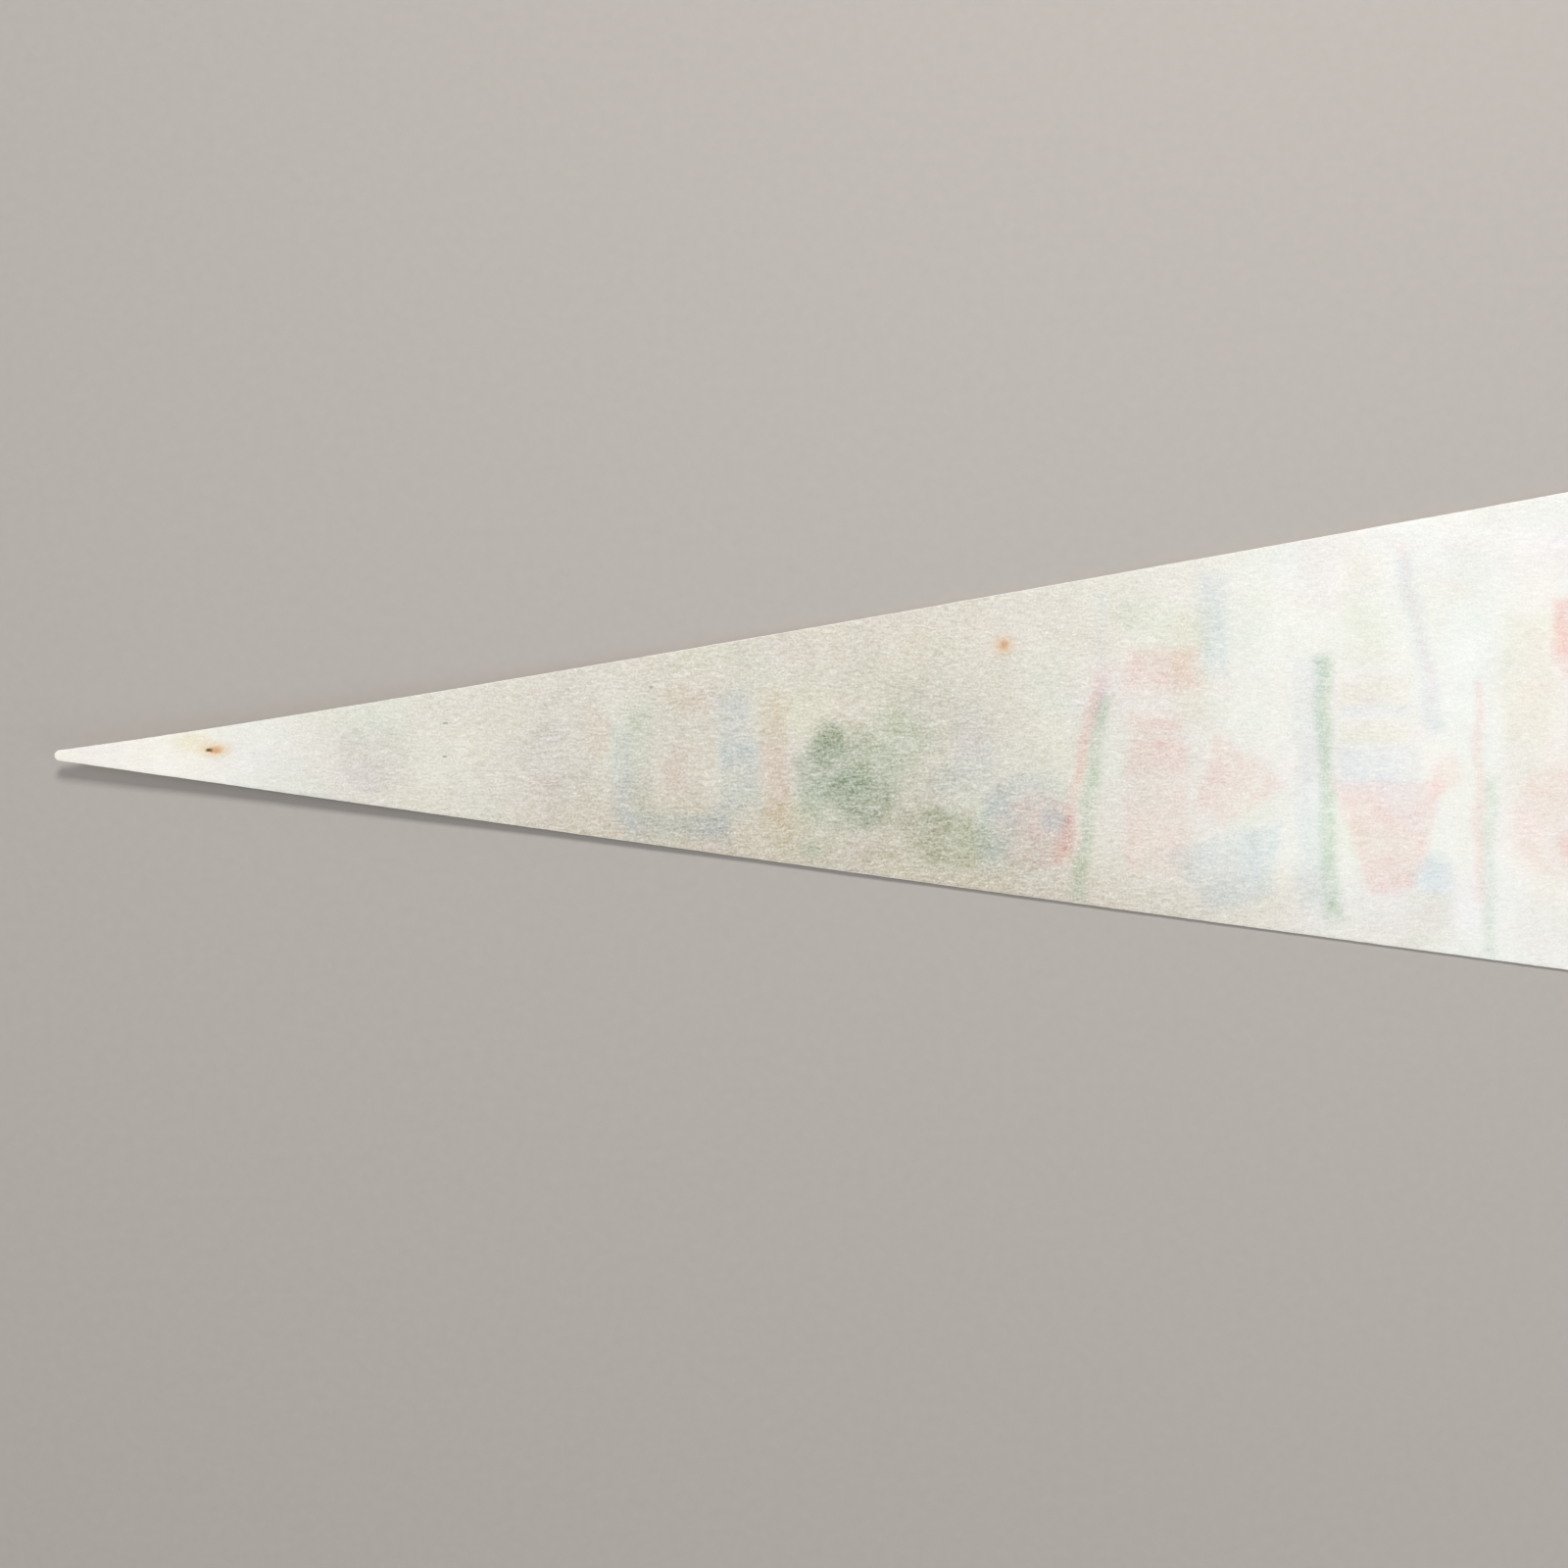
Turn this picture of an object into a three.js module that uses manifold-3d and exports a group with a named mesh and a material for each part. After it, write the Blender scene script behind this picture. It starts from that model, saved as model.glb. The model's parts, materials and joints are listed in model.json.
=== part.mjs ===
// A felt souvenir pennant lying with its printed front down and its plain back up.
// Millimetres. +X runs from the tip to the header, +Y across the pennant, +Z up.
// The origin is the centre of the footprint, on the surface that the pennant lies on.
import * as THREE from "three";
import { mergeVertices } from "three/addons/utils/BufferGeometryUtils.js";
import Module from "manifold-3d";

const wasm = await Module();
wasm.setup();

// The triangular field, with the small curl that rolled storage leaves in its tip.
const field = {
  length: 686, // tip to the header's outer edge
  endWidth: 216,
  thickness: 1.2,
  tipRadius: 2,
  upperHollow: { along: 110, depth: 5.4 }, // where each edge's curve is pulled, and how far inwards
  lowerHollow: { along: 330, depth: -1.5 },
  tipLift: 8,
  curlLength: 380, // the rest lies flat
  pinHole: { along: 55.7, across: 1.1, radius: 0.7 },
};

// The strip sewn on the front of the wide end. It stands a little proud of the field.
const header = { width: 25.4, thickness: 1.5, proud: 1.5, rampLength: 20 };

// Felt ties in pairs. Each is one strip that bends freely just outside the header,
// so it is made as a sewn-in root and a swinging tail. Their facing edges are round,
// and far enough apart for the tail to fold right back over the root.
const streamer = {
  width: 10,
  thickness: 0.8,
  sewnLength: 18,
  bendOffset: 3.4, // header's outer edge to the bending line
  rootSetback: 1.8, // bending line to the middle of the root's round edge
  reach: 110, // header's outer edge to the free end
  splay: THREE.MathUtils.degToRad(6),
  pairHalfSpacing: 7.8, // at the bending line; the two roots lie closer
  sagLength: 22, // the tail comes down to the surface over this length
};
const pairs = { top: 83, middle: 0, bottom: -83 }; // each pair's place across the header

// Two rows of lockstitch: needle thread on the front, bobbin thread on the back.
// Each is pulled down into the felt until it lies flush.
const stitching = { width: 0.5, depth: 0.3, grooveWidth: 1.1, endMargin: 4 };
const rows = { inner: 4, outer: 22 }; // each row's distance from the header's inner edge

const clearance = 0.3; // between pieces that were cut to each other
const curveSteps = 24;
const holeSides = 16;
const beyond = 20; // how far a cutting block runs past what it cuts

const headerStart = field.length - header.width;
const fieldEnd = field.length - header.proud;
const backLevel = header.thickness + field.thickness; // the field's back over the header
const bendX = field.length + streamer.bendOffset;
const bendZ = header.thickness - streamer.thickness / 2;
const middleX = (field.length + streamer.reach) / 2;

function solidOf(geometry) {
  const bare = geometry.clone();
  bare.deleteAttribute("normal");
  bare.deleteAttribute("uv");
  const merged = mergeVertices(bare, 1e-4);
  return new wasm.Manifold(
    new wasm.Mesh({
      numProp: 3,
      vertProperties: merged.getAttribute("position").array,
      triVerts: new Uint32Array(merged.index.array),
    }),
  );
}

function geometryOf(solid) {
  const { vertProperties, triVerts } = solid.getMesh();
  const geometry = new THREE.BufferGeometry();
  geometry.setAttribute("position", new THREE.BufferAttribute(vertProperties, 3));
  geometry.setIndex(new THREE.BufferAttribute(triVerts, 1));
  geometry.computeVertexNormals();
  return geometry;
}

// An outline in X and Y, raised from one level to another.
function raised(outline, low, high) {
  const options = { depth: high - low, bevelEnabled: false, curveSegments: curveSteps };
  return solidOf(new THREE.ExtrudeGeometry(outline, options).translate(0, 0, low));
}

// A side profile in X and Z, drawn out across Y to both sides of the middle.
function drawnAcross(profile, width) {
  const options = { depth: width, bevelEnabled: false, curveSegments: curveSteps };
  const geometry = new THREE.ExtrudeGeometry(profile, options);
  return solidOf(geometry.rotateX(Math.PI / 2).translate(0, width / 2, 0));
}

function block(x0, x1, y0, y1, z0, z1) {
  const geometry = new THREE.BoxGeometry(x1 - x0, y1 - y0, z1 - z0);
  return solidOf(geometry.translate((x0 + x1) / 2, (y0 + y1) / 2, (z0 + z1) / 2));
}

// The pull point of one long edge, which is a shallow curve from the tip to a corner.
function pullPoint(side, { along, depth }) {
  const straight = (along / field.length) * (field.endWidth / 2);
  return new THREE.Vector2(along, side * (straight + field.tipRadius - depth));
}

// Field and header are cut to this outline together, after they are sewn.
function cutOutline() {
  const half = field.endWidth / 2;
  const r = field.tipRadius;
  const upper = pullPoint(1, field.upperHollow);
  const lower = pullPoint(-1, field.lowerHollow);
  const upperTurn = Math.PI / 2 + Math.atan2(upper.y - r, upper.x - r);
  const lowerTurn = 1.5 * Math.PI - Math.atan2(-lower.y - r, lower.x - r);
  const outline = new THREE.Shape();
  outline.moveTo(field.length, -half);
  outline.lineTo(field.length, half);
  outline.quadraticCurveTo(
    upper.x, upper.y, r + r * Math.cos(upperTurn), r * Math.sin(upperTurn),
  );
  outline.absarc(r, 0, r, upperTurn, lowerTurn, false);
  outline.quadraticCurveTo(lower.x, lower.y, field.length, -half);
  return outline;
}

// The field from the side: curled up at the tip, flat, then up onto the header.
function fieldProfile() {
  const rampStart = headerStart - header.rampLength;
  const rampMiddle = headerStart - header.rampLength / 2;
  const t = field.thickness;
  const profile = new THREE.Shape();
  profile.moveTo(0, field.tipLift);
  profile.quadraticCurveTo(field.curlLength / 2, 0, field.curlLength, 0);
  profile.lineTo(rampStart, 0);
  profile.bezierCurveTo(
    rampMiddle, 0, rampMiddle, header.thickness, headerStart, header.thickness,
  );
  profile.lineTo(fieldEnd, header.thickness);
  profile.lineTo(fieldEnd, backLevel);
  profile.lineTo(headerStart, backLevel);
  profile.bezierCurveTo(rampMiddle, backLevel, rampMiddle, t, rampStart, t);
  profile.lineTo(field.curlLength, t);
  profile.quadraticCurveTo(field.curlLength / 2, t, 0, field.tipLift + t);
  profile.closePath();
  return profile;
}

function pennantField() {
  const height = field.tipLift + field.thickness;
  const { along, across, radius } = field.pinHole;
  const drill = new THREE.CylinderGeometry(radius, radius, 2 * height, holeSides);
  const hole = solidOf(drill.rotateX(Math.PI / 2).translate(along, across, height / 2));
  let felt = drawnAcross(fieldProfile(), field.endWidth + beyond)
    .intersect(raised(cutOutline(), -1, height + 1))
    .subtract(hole);
  for (const distance of Object.values(rows)) {
    felt = felt.subtract(threadGroove(distance, backLevel - stitching.depth, backLevel + 1));
  }
  return felt;
}

// One streamer's outline between two places along X, with its ends cut square to X.
function streamerOutline(y, splay, from, to, growth = 0) {
  const half = streamer.width / 2 / Math.cos(splay) + growth;
  const centre = (x) => y + (x - bendX) * Math.tan(splay);
  const corners = [
    [from, centre(from) - half],
    [to, centre(to) - half],
    [to, centre(to) + half],
    [from, centre(from) + half],
  ];
  return new THREE.Shape(corners.map(([x, across]) => new THREE.Vector2(x, across)));
}

// Every streamer with its name, its place at the bending line and its splay.
function streamerPlaces() {
  return Object.entries(pairs).flatMap(([pair, middle]) =>
    [1, -1].map((side, i) => ({
      name: `streamer_${pair}_${i + 1}`,
      y: middle + side * streamer.pairHalfSpacing,
      splay: side * streamer.splay,
    })),
  );
}

function streamerRoot({ y, splay }) {
  const start = field.length - streamer.sewnLength;
  const end = bendX - streamer.rootSetback;
  const radius = streamer.thickness / 2;
  const profile = new THREE.Shape();
  profile.moveTo(start, bendZ - radius);
  profile.lineTo(end, bendZ - radius);
  profile.absarc(end, bendZ, radius, -Math.PI / 2, Math.PI / 2, false);
  profile.lineTo(start, bendZ + radius);
  const outline = streamerOutline(y, splay, start, bendX);
  return drawnAcross(profile, field.endWidth + beyond).intersect(raised(outline, -1, backLevel));
}

// The channel that a root takes up in the header.
function rootChannel({ y, splay }) {
  const start = field.length - streamer.sewnLength - clearance;
  const outline = streamerOutline(y, splay, start, bendX, clearance);
  return raised(outline, bendZ - streamer.thickness / 2, header.thickness + 1);
}

// The tail starts with a round edge about its bending line, so it turns clear of its root.
function streamerTail({ y, splay }) {
  const t = streamer.thickness;
  const end = field.length + streamer.reach;
  const flat = bendX + streamer.sagLength;
  const bend = bendX + streamer.sagLength / 2;
  const profile = new THREE.Shape();
  profile.absarc(bendX, bendZ, t / 2, Math.PI / 2, 1.5 * Math.PI, false);
  profile.bezierCurveTo(bend, bendZ - t / 2, bend, 0, flat, 0);
  profile.lineTo(end, 0);
  profile.lineTo(end, t);
  profile.lineTo(flat, t);
  profile.bezierCurveTo(bend, t, bend, bendZ + t / 2, bendX, bendZ + t / 2);
  const outline = streamerOutline(y, splay, bendX - t, end);
  return drawnAcross(profile, field.endWidth + beyond).intersect(raised(outline, -1, backLevel));
}

// A stitch row's half length, kept inside the tapering ends of the header.
function rowHalfLength(distance) {
  const share = (headerStart + distance) / field.length;
  return (share * field.endWidth) / 2 - stitching.endMargin;
}

function threadGroove(distance, low, high) {
  const x = headerStart + distance;
  const half = stitching.grooveWidth / 2;
  const reach = rowHalfLength(distance) + clearance;
  return block(x - half, x + half, -reach, reach, low, high);
}

function headerStrip(places) {
  const half = field.endWidth / 2 + beyond;
  let strip = raised(cutOutline(), 0, header.thickness).intersect(
    block(headerStart, field.length + 1, -half, half, -1, header.thickness + 1),
  );
  for (const place of places) strip = strip.subtract(rootChannel(place));
  for (const distance of Object.values(rows)) {
    strip = strip.subtract(threadGroove(distance, -1, stitching.depth));
  }
  return strip;
}

function threadRow(distance, low) {
  const length = 2 * rowHalfLength(distance);
  const row = new THREE.BoxGeometry(stitching.width, length, stitching.depth);
  return row.translate(headerStart + distance, 0, low + stitching.depth / 2);
}

const whiteFelt = { color: 0xe9e8e1, roughness: 0.95, metalness: 0 };
const redFelt = { color: 0xa5413d, roughness: 0.95, metalness: 0 };
const cottonThread = { color: 0xded8c8, roughness: 0.7, metalness: 0 };

const pennant = new THREE.Group();
const cloth = new THREE.Group();
cloth.position.x = -middleX;
pennant.add(cloth);

function addPiece(name, geometry, finish) {
  const mesh = new THREE.Mesh(geometry, new THREE.MeshStandardMaterial(finish));
  mesh.name = name;
  cloth.add(mesh);
}

const places = streamerPlaces();
addPiece("pennant_field", geometryOf(pennantField()), whiteFelt);
addPiece("header_strip", geometryOf(headerStrip(places)), redFelt);
for (const place of places) {
  addPiece(`${place.name}_root`, geometryOf(streamerRoot(place)), redFelt);
  addPiece(`${place.name}_tail`, geometryOf(streamerTail(place)), redFelt);
}
for (const [row, distance] of Object.entries(rows)) {
  const backRow = threadRow(distance, backLevel - stitching.depth);
  addPiece(`needle_thread_${row}`, threadRow(distance, 0), cottonThread);
  addPiece(`bobbin_thread_${row}`, backRow, cottonThread);
}

export default pennant;
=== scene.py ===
import json
import math

import bpy
import numpy as np
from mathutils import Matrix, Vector, noise
from mathutils.geometry import delaunay_2d_cdt


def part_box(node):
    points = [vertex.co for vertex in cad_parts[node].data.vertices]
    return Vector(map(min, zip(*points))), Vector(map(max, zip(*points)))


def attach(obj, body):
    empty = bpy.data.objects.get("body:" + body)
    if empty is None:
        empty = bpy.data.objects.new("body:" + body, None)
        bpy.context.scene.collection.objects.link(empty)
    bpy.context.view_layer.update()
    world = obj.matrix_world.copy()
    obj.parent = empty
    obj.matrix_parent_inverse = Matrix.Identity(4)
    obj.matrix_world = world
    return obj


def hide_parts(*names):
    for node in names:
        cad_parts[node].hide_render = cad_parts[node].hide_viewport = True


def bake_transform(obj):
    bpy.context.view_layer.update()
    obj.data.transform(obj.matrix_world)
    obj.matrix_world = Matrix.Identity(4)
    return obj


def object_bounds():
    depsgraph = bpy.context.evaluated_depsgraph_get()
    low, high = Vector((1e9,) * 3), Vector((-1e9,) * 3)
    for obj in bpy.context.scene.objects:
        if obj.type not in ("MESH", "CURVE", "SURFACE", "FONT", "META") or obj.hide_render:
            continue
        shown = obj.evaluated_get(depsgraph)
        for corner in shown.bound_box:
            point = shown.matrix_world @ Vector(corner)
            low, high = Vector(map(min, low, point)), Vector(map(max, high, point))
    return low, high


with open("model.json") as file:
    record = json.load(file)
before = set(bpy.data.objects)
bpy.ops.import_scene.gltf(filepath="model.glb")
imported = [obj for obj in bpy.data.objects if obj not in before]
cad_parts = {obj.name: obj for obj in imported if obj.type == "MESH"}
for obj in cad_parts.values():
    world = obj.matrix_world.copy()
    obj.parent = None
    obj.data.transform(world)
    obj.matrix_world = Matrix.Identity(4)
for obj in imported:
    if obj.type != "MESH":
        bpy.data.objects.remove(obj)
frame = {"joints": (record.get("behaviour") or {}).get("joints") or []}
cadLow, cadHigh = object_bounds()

# A felt souvenir pennant lying on its printed front, with its plain back up.
# Everything is in metres in the CAD frame: tip at -X, header at +X, back up.

mm = 0.001

fieldLow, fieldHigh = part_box("pennant_field")
headerLow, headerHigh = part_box("header_strip")
tipX = fieldLow.x


def linear(hexColour):  # sRGB hex to the linear colour that shaders take
    channels = [int(hexColour[i:i + 2], 16) / 255 for i in (1, 3, 5)]
    flat = [c / 12.92 if c <= 0.04045 else ((c + 0.055) / 1.055) ** 2.4 for c in channels]
    return (*flat, 1.0)


def addNode(tree, kind, settings=None, inputs=None):
    made = tree.nodes.new(kind)
    for name, value in (settings or {}).items():
        setattr(made, name, value)
    for key, value in (inputs or {}).items():
        if isinstance(value, bpy.types.NodeSocket):
            tree.links.new(value, made.inputs[key])
        else:
            made.inputs[key].default_value = value
    return made


def newObject(name, data):
    made = bpy.data.objects.new(name, data)
    bpy.context.scene.collection.objects.link(made)
    return made


def newMaterial(name):
    material = bpy.data.materials.new(name)
    material.use_nodes = True
    material.node_tree.nodes.clear()
    return material, material.node_tree


def smoothStep(value, low, high):
    t = np.clip((value - low) / (high - low), 0, 1)
    return t * t * (3 - 2 * t)


def softNoise(points, size, seed):  # one value for each point, about -0.5 to 0.5
    return np.array([noise.noise(Vector((x / size, y / size, seed))) for x, y in points])


cameraSettings = {
    "place": (-0.12661, -0.00704, 0.44733),
    "turn": (-1.032, 0.812, -0.983),  # degrees: almost straight down, a little rolled
    "lens": 27.9,
    "sensor": 36,
}
camera = newObject("camera", bpy.data.cameras.new("camera"))
camera.location = cameraSettings["place"]
camera.rotation_euler = [math.radians(a) for a in cameraSettings["turn"]]
camera.data.lens = cameraSettings["lens"]
camera.data.sensor_width = cameraSettings["sensor"]
camera.data.clip_start = 0.01
bpy.context.scene.camera = camera
bpy.context.scene.view_settings.view_transform = "Standard"

stageSettings = {
    "floorSize": 12.0,
    "floorGap": 0.1 * mm,  # so that the floor and the felt never share a plane
    "floorColour": "#b7b1a8",
    "floorShade": "#b0aaa1",
    "worldColour": "#eceef2",
    "worldStrength": 0.33,
}
lights = {
    # name: place, what it points at, width and height, watts, colour
    "window": ((0.3, 0.92, 1.25), (-0.05, 0.0, 0.0), (0.36, 0.36), 16.6, "#fdfcff"),
    "ceiling": ((-0.75, 0.1, 1.35), (-0.3, 0.0, 0.0), (0.9, 0.9), 6.0, "#fbfaff"),
    "side": ((1.1, -0.7, 0.8), (0.1, 0.0, 0.0), (0.9, 0.7), 4.2, "#f3f6ff"),
}


def makeStage():
    half = stageSettings["floorSize"] / 2
    z = -stageSettings["floorGap"]
    mesh = bpy.data.meshes.new("floor")
    mesh.from_pydata([(-half, -half, z), (half, -half, z), (half, half, z), (-half, half, z)],
                     [], [(0, 1, 2, 3)])
    floor = newObject("floor", mesh)
    material, tree = newMaterial("matte_painted_board")  # even and dull, so only the felt is read
    coords = addNode(tree, "ShaderNodeTexCoord")
    speckle = addNode(tree, "ShaderNodeTexNoise", inputs={
        "Vector": coords.outputs["Object"], "Scale": 260.0, "Detail": 2.0})
    shade = addNode(tree, "ShaderNodeMix", {"data_type": "RGBA"}, {
        0: speckle.outputs["Fac"],
        6: linear(stageSettings["floorShade"]), 7: linear(stageSettings["floorColour"])})
    surface = addNode(tree, "ShaderNodeBsdfPrincipled", inputs={
        "Base Color": shade.outputs[2], "Roughness": 0.7, "Specular IOR Level": 0.25})
    addNode(tree, "ShaderNodeOutputMaterial", inputs={"Surface": surface.outputs[0]})
    mesh.materials.append(material)
    world = bpy.data.worlds.new("studio")
    world.use_nodes = True
    background = world.node_tree.nodes["Background"]
    background.inputs["Color"].default_value = linear(stageSettings["worldColour"])
    background.inputs["Strength"].default_value = stageSettings["worldStrength"]
    bpy.context.scene.world = world
    for name, (place, target, size, watts, colour) in lights.items():
        lamp = bpy.data.lights.new(name, "AREA")
        lamp.shape = "RECTANGLE"
        lamp.size, lamp.size_y = size
        lamp.energy = watts
        lamp.color = linear(colour)[:3]
        holder = newObject(name, lamp)
        holder.location = place
        aim = Vector(target) - Vector(place)
        holder.rotation_euler = aim.to_track_quat("-Z", "Y").to_euler()


makeStage()
print("stage, lights and camera ready")


# Generic blocks of ink on the front, in millimetres from the tip and from the middle.
# The back shows each of them faintly, because some ink has soaked through.

inks = {
    # name: on the printed front, and what of it shows on the back
    "blue": ("#2f6fae", "#2fa9d6"), "green": ("#2c8a48", "#45a35a"),
    "grass": ("#3f7d33", "#28803c"), "olive": ("#7b8436", "#76863a"),
    "red": ("#c62f2b", "#ee8480"), "rose": ("#d9736f", "#f0928c"),
    "yellow": ("#eccb42", "#c6bb50"), "lime": ("#a9b848", "#a2b06a"),
    "tan": ("#b98145", "#d6a06a"), "sand": ("#cdb98a", "#c9b48c"),
    "grey": ("#7f9197", "#6f97a3"), "orange": ("#de7f35", "#e3a070"),
    "violet": ("#7d6f92", "#86829c"),
}
blocks = [
    # shape, ink, along, across, half along, half across, how much soaks through; then its
    # turn in degrees and its taper, where it has them
    ("box", "blue", 206, -11, 4, 18, 0.11),
    ("box", "green", 213, -6, 4, 20, 0.11),
    ("box", "sand", 229, -4, 10, 22, 0.05),
    ("disc", "orange", 228, 17, 9, 5, 0.10),
    ("disc", "rose", 226, -9, 4, 8, 0.09),
    ("box", "blue", 247, 6, 6, 13, 0.10, 6),
    ("box", "blue", 249, -12, 7, 12, 0.11),
    ("box", "blue", 225, -30, 19, 5, 0.14, -3),
    ("disc", "blue", 242, -27, 8, 5, 0.08, 25),
    ("box", "tan", 262, -5, 5, 25, 0.17),
    ("disc", "yellow", 264, -29, 7, 9, 0.13),
    ("disc", "grass", 288, -13, 19, 20, 0.17),
    ("disc", "grass", 282, -1, 6, 8, 0.34),
    ("disc", "grass", 286, -17, 9, 8, 0.14),
    ("disc", "grass", 309, 2, 16, 9, 0.07, -15),
    ("disc", "olive", 298, -37, 26, 7, 0.06, -9),
    ("disc", "grass", 293, -21, 16, 9, 0.15, -30),
    ("disc", "grass", 305, -19, 22, 12, 0.08, -18),
    ("disc", "green", 275, -39, 4, 3, 0.18),
    ("disc", "green", 274, -17, 6, 15, 0.12),
    ("disc", "grass", 293, -8, 5, 9, 0.04, 35),
    ("disc", "olive", 325, -35, 16, 11, 0.25, -12),
    ("disc", "olive", 313, -26, 16, 9, 0.11, -20),
    ("box", "lime", 299, 21, 29, 20, 0.05),
    ("disc", "grass", 317, 12, 17, 15, 0.06),
    ("disc", "olive", 306, -6, 18, 12, 0.09),
    ("disc", "grey", 323, -14, 6, 5, 0.16),
    ("disc", "grey", 345, -14, 24, 15, 0.07),
    ("disc", "blue", 334, -4, 8, 17, 0.06),
    ("disc", "blue", 342, -34, 7, 15, 0.11, -10),
    ("disc", "rose", 357, -34, 15, 14, 0.13),
    ("disc", "grey", 354, -30, 16, 18, 0.12),
    ("disc", "rose", 364, -42, 6, 9, 0.05),
    ("disc", "blue", 363, -30, 4, 4, 0.20),
    ("box", "rose", 373, -11, 2.4, 36, 0.20, -13),
    ("box", "green", 377, -22, 2.6, 38, 0.20, -8),
    ("box", "blue", 381, 31, 1.5, 22, 0.07, -2),
    ("box", "rose", 404, 25, 13, 7.5, 0.17),
    ("box", "rose", 401, -2, 10, 11, 0.10),
    ("box", "red", 401, 5, 9, 1.4, 0.10),
    ("box", "red", 401, -3, 9, 1.4, 0.10),
    ("box", "rose", 401, -27, 12, 24, 0.10),
    ("box", "yellow", 414, 26, 6, 20, 0.08),
    ("box", "blue", 422, 41, 5, 19, 0.10),
    ("disc", "green", 396, 44, 11, 6, 0.06),
    ("box", "rose", 428, -19, 11, 13, 0.14, -38, 0.4),
    ("box", "blue", 428, -49, 17, 13, 0.11, 14, 0.3),
    ("disc", "yellow", 448, -57, 12, 9, 0.05),
    ("box", "blue", 457, -18, 5, 46, 0.08, 1),
    ("box", "green", 463, -20, 2.8, 48, 0.24, 2),
    ("box", "yellow", 480, 15, 13, 5, 0.09),
    ("box", "blue", 480, 8, 12, 2.2, 0.08),
    ("box", "yellow", 480, 0, 13, 3.5, 0.10),
    ("box", "blue", 482, -12, 14, 7, 0.06),
    ("box", "rose", 486, -38, 14, 20, 0.18, 0, 0.42),
    ("disc", "rose", 506, -16, 5, 7, 0.12, -30),
    ("disc", "blue", 502, -52, 7, 8, 0.12),
    ("box", "lime", 500, -68, 9, 10, 0.11),
    ("box", "red", 518, -22, 1.7, 40, 0.15),
    ("box", "green", 521.5, -50, 2.4, 32, 0.14),
    ("box", "yellow", 477, 45, 8, 20, 0.05),
    ("box", "blue", 497, 32, 3, 32, 0.08, 12),
    ("box", "rose", 496, 40, 1.5, 30, 0.08, 12),
    ("disc", "orange", 511, 52, 6, 5, 0.05),
    ("box", "yellow", 536, 18, 9, 24, 0.06),
    ("box", "red", 556, 37, 11, 11, 0.32),
    ("box", "rose", 557, 22, 9, 3, 0.24),
    ("box", "red", 557, -43, 9, 5, 0.20),
    ("disc", "rose", 545, -34, 15, 20, 0.10),
    ("disc", "rose", 543, -22, 18, 42, 0.05),
    ("disc", "yellow", 543, 8, 18, 34, 0.04),
    ("box", "blue", 575, -12, 7, 24, 0.10),
    ("box", "green", 588, 28, 2, 38, 0.18),
    ("disc", "yellow", 603, -8, 15, 15, 0.12),
    ("box", "rose", 612, 52, 13, 9, 0.17),
    ("box", "blue", 612, -52, 12, 14, 0.11, 0, 0.3),
    ("box", "red", 633, 6, 2, 62, 0.14),
    ("box", "green", 640, 6, 2, 62, 0.14),
    ("disc", "violet", 115, -3, 12, 13, 0.08),
    ("disc", "violet", 183, -3, 13, 13, 0.05),
    ("disc", "rose", 197, 6, 5, 11, 0.08),
    ("box", "grey", 185, 22, 1.5, 10, 0.10, -50),
]
printSettings = {
    "frontSoftness": 0.15,  # mm, ink edge on the printed face
    "frontFray": 0.7,  # mm, how far the fibres carry that edge
    "frontCover": 0.94,
    "frontLeast": 0.075,  # what soaks through less than this is a stain on the back, not print
    "felt": "#f1efe7",
    "backSoftness": 2.7,  # mm, the same edge of a wide block after soaking through
    "lineSoftness": 1.2,  # mm, and of a thin line
    "widthSoftness": 0.35,  # softer by this share of the half width in between
    "spread": 9.0,  # mm, size of the patches where more or less ink came through
    "patchiness": 0.55,
    "finePatches": 0.6,  # share of patches a third of that size
    "drift": 1.8,  # mm, how far an edge strays
    "driftSize": 14.4,  # mm
}


def filledIn(block):  # with a turn and a taper of 0 where its row has none
    return (*block, 0, 0)[:9]


# Distance from the edge of one block, in mm: negative inside.
def blockDistance(x, y, block):
    shape, _, along, across, halfAlong, halfAcross, _, turn, taper = filledIn(block)
    c, s = math.cos(math.radians(turn)), math.sin(math.radians(turn))
    u = (x - along) * c + (y - across) * s
    v = (y - across) * c - (x - along) * s
    if shape == "disc":
        return (np.hypot(u / halfAlong, v / halfAcross) - 1) * min(halfAlong, halfAcross)
    u = np.abs(u) - halfAlong * (1 + taper * np.clip(v / halfAcross, -1, 1))
    v = np.abs(v) - halfAcross
    return np.hypot(np.maximum(u, 0), np.maximum(v, 0)) + np.minimum(np.maximum(u, v), 0)


# How much light each point of the back still sends back, red, green and blue apart.
def soakedThrough(points):
    x = (points[:, 0] - tipX) / mm
    y = points[:, 1] / mm
    spread = printSettings["spread"]
    places = np.stack([x, y], axis=1)
    x = x + printSettings["drift"] * softNoise(places, printSettings["driftSize"], 3.0)
    y = y + printSettings["drift"] * softNoise(places, printSettings["driftSize"], 5.0)
    felt = np.array(linear(printSettings["felt"])[:3])
    tint = np.ones((len(points), 3))
    for order, block in enumerate(blocks):
        widened = printSettings["widthSoftness"] * min(block[4:6])
        soft = min(printSettings["backSoftness"], printSettings["lineSoftness"] + widened)
        distance = blockDistance(x, y, block)
        near = distance < 2 * soft
        if not near.any():
            continue
        patch = softNoise(places[near], spread, 7.0 + order)
        patch += printSettings["finePatches"] * softNoise(places[near], spread / 3, 31.0 + order)
        cover = 1 - smoothStep(distance[near] + 0.4 * soft * patch, -soft, soft)
        strength = block[6] * cover * np.clip(1 + printSettings["patchiness"] * patch, 0.2, 2)
        absorbed = 1 - np.array(linear(inks[block[1]][1])[:3]) / felt
        tint[near] *= 1 - strength[:, None] * absorbed
    return tint


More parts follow.
